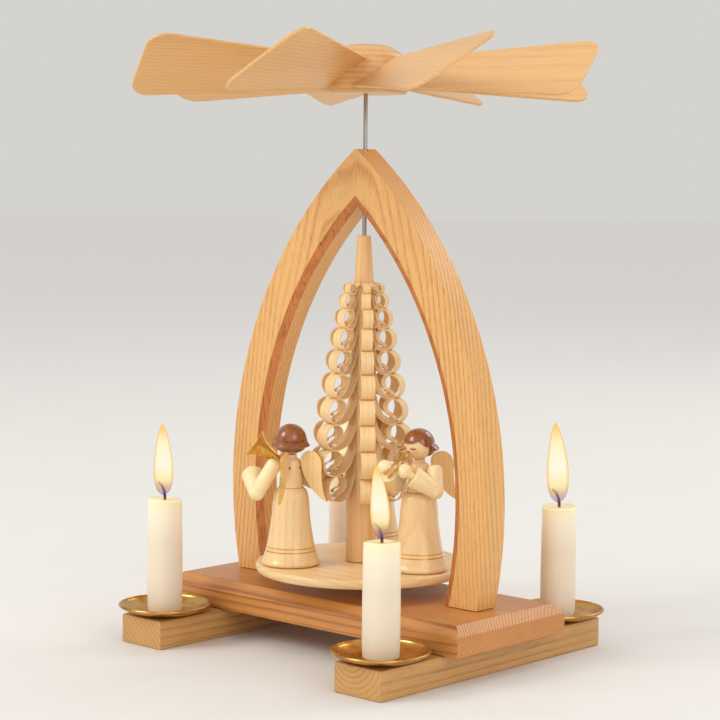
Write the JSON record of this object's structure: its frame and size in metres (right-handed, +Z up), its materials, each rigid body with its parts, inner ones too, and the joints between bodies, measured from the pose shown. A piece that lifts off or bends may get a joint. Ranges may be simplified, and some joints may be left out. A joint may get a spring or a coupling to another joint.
{
  "type": "christmas pyramid",
  "caption": "Table Christmas pyramid: pointed wooden arch on a candle-bearing base, with a wing wheel that turns a plate of angels round a shaved wooden tree.",
  "frame": {"origin": "on the table, under the spindle, midway between the two cross bars", "axes": "+Z up along the spindle, +X along the base board and the arch's width, -Y towards the front candles"},
  "size_m": [0.1858, 0.1858, 0.2464],
  "materials": {
    "board_wood": "clear lacquer on reddish planed wood",
    "bar_wood": "clear lacquer on pale planed wood",
    "arch_wood": "clear lacquer on golden flat-sawn wood",
    "lime_wood": "clear lacquer on pale turned lime wood",
    "blade_veneer": "matt, thin plywood",
    "shaft_steel": "drawn wire",
    "bearing_glass": "clear pressed glass",
    "tray_brass": "bright pressed sheet",
    "candle_wax": "cream wax",
    "wick_char": "burnt cotton",
    "hair_lacquer": "brown gloss lacquer",
    "sleeve_cream": "cream paint",
    "instrument_gold": "gold paint"
  },
  "bodies": {
    "stand": {"base_board": "board_wood", "cross_bar_left": "bar_wood", "cross_bar_right": "bar_wood", "pointed_arch": "arch_wood", "arch_dowel_left": "bar_wood", "arch_dowel_right": "bar_wood", "bearing_cup": "bearing_glass", "drip_tray_front_left": "tray_brass", "drip_tray_front_right": "tray_brass", "drip_tray_back_left": "tray_brass", "drip_tray_back_right": "tray_brass", "candle_spike_front_left": "shaft_steel", "candle_spike_front_right": "shaft_steel", "candle_spike_back_left": "shaft_steel", "candle_spike_back_right": "shaft_steel"},
    "spindle": {"shaft": "shaft_steel", "turning_plate": "lime_wood", "shaved_tree": "lime_wood", "wheel_hub": "lime_wood", "blade_1": "blade_veneer", "blade_2": "blade_veneer", "blade_3": "blade_veneer", "blade_4": "blade_veneer", "blade_5": "blade_veneer", "blade_6": "blade_veneer", "blade_7": "blade_veneer", "blade_8": "blade_veneer", "flute_angel_body": "lime_wood", "flute_angel_head": "lime_wood", "flute_angel_hair": "hair_lacquer", "flute_angel_left_wing": "lime_wood", "flute_angel_right_wing": "lime_wood", "flute_angel_left_arm": "sleeve_cream", "flute_angel_right_arm": "sleeve_cream", "flute_angel_pipe": "instrument_gold", "piper_angel_body": "lime_wood", "piper_angel_head": "lime_wood", "piper_angel_hair": "hair_lacquer", "piper_angel_left_wing": "lime_wood", "piper_angel_right_wing": "lime_wood", "piper_angel_left_arm": "sleeve_cream", "piper_angel_right_arm": "sleeve_cream", "piper_angel_pipe": "instrument_gold", "horn_angel_body": "lime_wood", "horn_angel_head": "lime_wood", "horn_angel_hair": "hair_lacquer", "horn_angel_left_wing": "lime_wood", "horn_angel_right_wing": "lime_wood", "horn_angel_left_arm": "sleeve_cream", "horn_angel_right_arm": "sleeve_cream", "horn_angel_horn": "instrument_gold"},
    "candle_front_left": {"candle_front_left": "candle_wax", "wick_front_left": "wick_char"},
    "candle_front_right": {"candle_front_right": "candle_wax", "wick_front_right": "wick_char"},
    "candle_back_left": {"candle_back_left": "candle_wax", "wick_back_left": "wick_char"},
    "candle_back_right": {"candle_back_right": "candle_wax", "wick_back_right": "wick_char"}
  },
  "joints": [
    {"name": "spindle_turn", "type": "hinge", "parent": "stand", "child": "spindle", "pos_m": [0, 0, 0], "axis": [0, 0, 1], "continuous": true},
    {"name": "candle_lift_front_left", "type": "slide", "parent": "stand", "child": "candle_front_left", "axis": [0, 0, 1], "range_m": [0, 0.04]},
    {"name": "candle_lift_front_right", "type": "slide", "parent": "stand", "child": "candle_front_right", "axis": [0, 0, 1], "range_m": [0, 0.04]},
    {"name": "candle_lift_back_left", "type": "slide", "parent": "stand", "child": "candle_back_left", "axis": [0, 0, 1], "range_m": [0, 0.04]},
    {"name": "candle_lift_back_right", "type": "slide", "parent": "stand", "child": "candle_back_right", "axis": [0, 0, 1], "range_m": [0, 0.04]}
  ]
}
